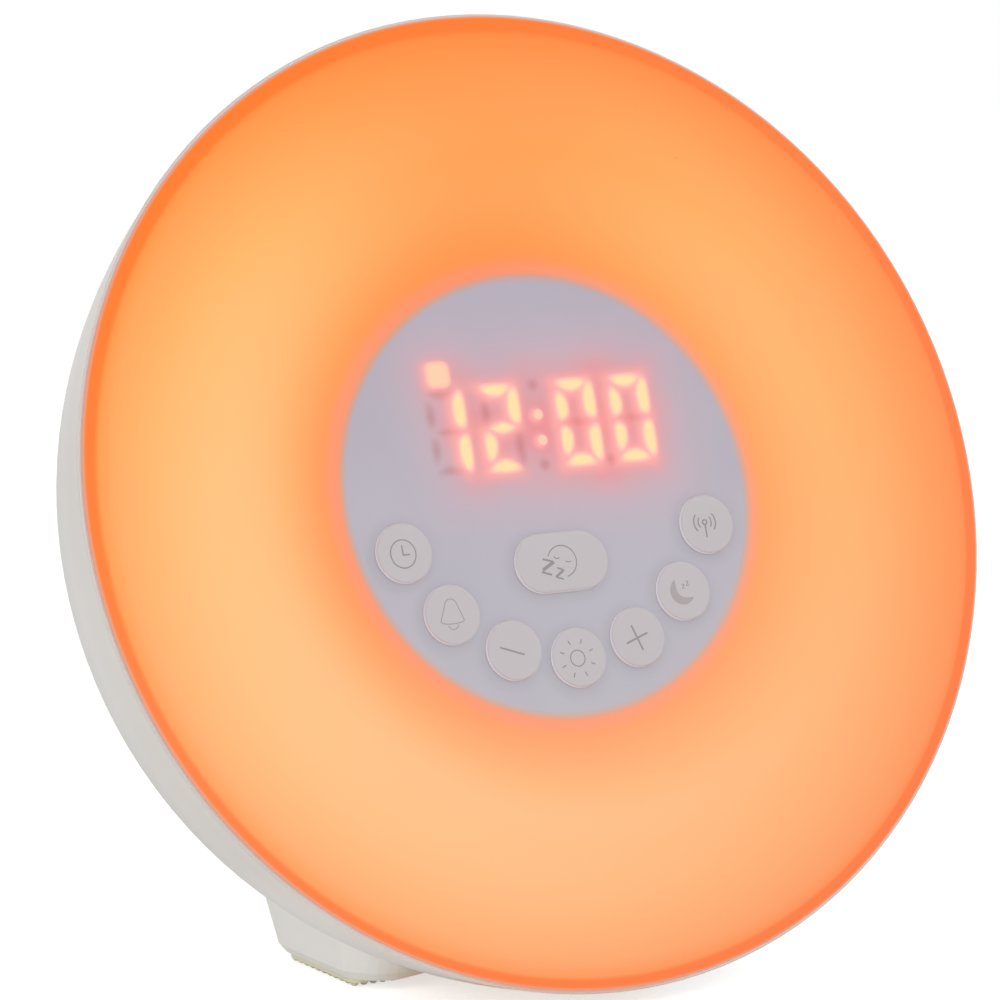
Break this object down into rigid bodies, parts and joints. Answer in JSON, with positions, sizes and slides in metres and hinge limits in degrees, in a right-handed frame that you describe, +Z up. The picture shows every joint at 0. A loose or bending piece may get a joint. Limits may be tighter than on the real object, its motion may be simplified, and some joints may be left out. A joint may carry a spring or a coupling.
{
  "type": "sunrise alarm clock",
  "caption": "Round sunrise alarm clock: a glowing ring-shaped lens round a clock display and an arc of keys, in a white bowl-shaped shell leaning back on a ribbed foot.",
  "frame": {"origin": "middle of the foot pad's resting face", "axes": "+Z up; +X to the right as the face is looked at, across the round body; +Y towards the back, the way the face leans"},
  "size_m": [0.1712, 0.0941, 0.1658],
  "materials": {
    "opal_lens": "translucent opal plastic lit warm orange from behind",
    "white_shell": "fine satin off-white moulding",
    "pad_rubber": "ribbed soft rubber",
    "inner_white": "plain white moulding",
    "board_white": "white solder mask",
    "led_phosphor": "yellow phosphor in a white package",
    "display_black": "matt black",
    "segment_glow": "glowing display segment",
    "board_green": "green solder mask",
    "switch_black": "matt black",
    "chip_black": "matt black",
    "speaker_steel": "pressed and plated",
    "magnet_grey": "sintered ferrite, ground",
    "cone_paper": "pressed pulp",
    "gasket_foam": "closed-cell foam",
    "speaker_cloth": "open weave",
    "screw_steel": "zinc plated",
    "jack_black": "moulded nylon",
    "contact_nickel": "nickel plated",
    "grommet_rubber": "soft rubber",
    "cell_jacket": "printed film jacket, plain",
    "ribbon_grey": "soft vinyl",
    "lead_red": "soft vinyl",
    "lead_black": "soft vinyl",
    "lead_blue": "soft vinyl",
    "key_plastic": "satin light grey moulding with a printed pictogram",
    "plunger_cream": "plain acetal"
  },
  "bodies": {
    "clock": {"front_lens": "opal_lens", "rear_housing": "white_shell", "foot_pad": "pad_rubber", "control_cup": "inner_white", "reflector": "inner_white", "led_board": "board_white", "led_chips": "led_phosphor", "display_module": "display_black", "display_segments": "segment_glow", "control_board": "board_green", "switch_bodies": "switch_black", "main_board": "board_green", "main_board_parts": "chip_black", "speaker_frame": "speaker_steel", "speaker_magnet": "magnet_grey", "speaker_cone": "cone_paper", "speaker_gasket": "gasket_foam", "speaker_cloth": "speaker_cloth", "speaker_washers": "screw_steel", "dc_jack": "jack_black", "dc_jack_pin": "contact_nickel", "aerial_grommet": "grommet_rubber", "backup_cells": "cell_jacket", "battery_contacts": "contact_nickel", "housing_screws": "screw_steel", "cup_screws": "screw_steel", "control_board_screws": "screw_steel", "led_board_screws": "screw_steel", "main_board_screws": "screw_steel", "speaker_screws": "screw_steel", "display_ribbon": "ribbon_grey", "led_leads": "lead_red", "speaker_leads": "lead_black", "battery_leads": "lead_blue", "dc_leads": "lead_red"},
    "set_clock_button": {"set_clock_key": "key_plastic", "set_clock_plunger": "plunger_cream"},
    "alarm_button": {"alarm_key": "key_plastic", "alarm_plunger": "plunger_cream"},
    "minus_button": {"minus_key": "key_plastic", "minus_plunger": "plunger_cream"},
    "light_button": {"light_key": "key_plastic", "light_plunger": "plunger_cream"},
    "plus_button": {"plus_key": "key_plastic", "plus_plunger": "plunger_cream"},
    "sleep_button": {"sleep_key": "key_plastic", "sleep_plunger": "plunger_cream"},
    "radio_button": {"radio_key": "key_plastic", "radio_plunger": "plunger_cream"},
    "snooze_button": {"snooze_key": "key_plastic", "snooze_plunger": "plunger_cream"},
    "battery_cover": {"battery_door": "white_shell"}
  },
  "joints": [
    {"name": "set_clock_press", "type": "slide", "parent": "clock", "child": "set_clock_button", "axis": [0, 0.9511, -0.309], "range_m": [0, 0.0005], "stiffness_N_per_m": 800, "springref_m": -0.0012},
    {"name": "alarm_press", "type": "slide", "parent": "clock", "child": "alarm_button", "axis": [0, 0.9511, -0.309], "range_m": [0, 0.0005], "stiffness_N_per_m": 800, "springref_m": -0.0012},
    {"name": "minus_press", "type": "slide", "parent": "clock", "child": "minus_button", "axis": [0, 0.9511, -0.309], "range_m": [0, 0.0005], "stiffness_N_per_m": 800, "springref_m": -0.0012},
    {"name": "light_press", "type": "slide", "parent": "clock", "child": "light_button", "axis": [0, 0.9511, -0.309], "range_m": [0, 0.0005], "stiffness_N_per_m": 800, "springref_m": -0.0012},
    {"name": "plus_press", "type": "slide", "parent": "clock", "child": "plus_button", "axis": [0, 0.9511, -0.309], "range_m": [0, 0.0005], "stiffness_N_per_m": 800, "springref_m": -0.0012},
    {"name": "sleep_press", "type": "slide", "parent": "clock", "child": "sleep_button", "axis": [0, 0.9511, -0.309], "range_m": [0, 0.0005], "stiffness_N_per_m": 800, "springref_m": -0.0012},
    {"name": "radio_press", "type": "slide", "parent": "clock", "child": "radio_button", "axis": [0, 0.9511, -0.309], "range_m": [0, 0.0005], "stiffness_N_per_m": 800, "springref_m": -0.0012},
    {"name": "snooze_press", "type": "slide", "parent": "clock", "child": "snooze_button", "axis": [0, 0.9511, -0.309], "range_m": [0, 0.0005], "stiffness_N_per_m": 800, "springref_m": -0.0012},
    {"name": "battery_cover_hinge", "type": "hinge", "parent": "clock", "child": "battery_cover", "pos_m": [0, 0.01476, 0.03445], "axis": [-1, 0, 0], "range_deg": [0, 75]}
  ]
}
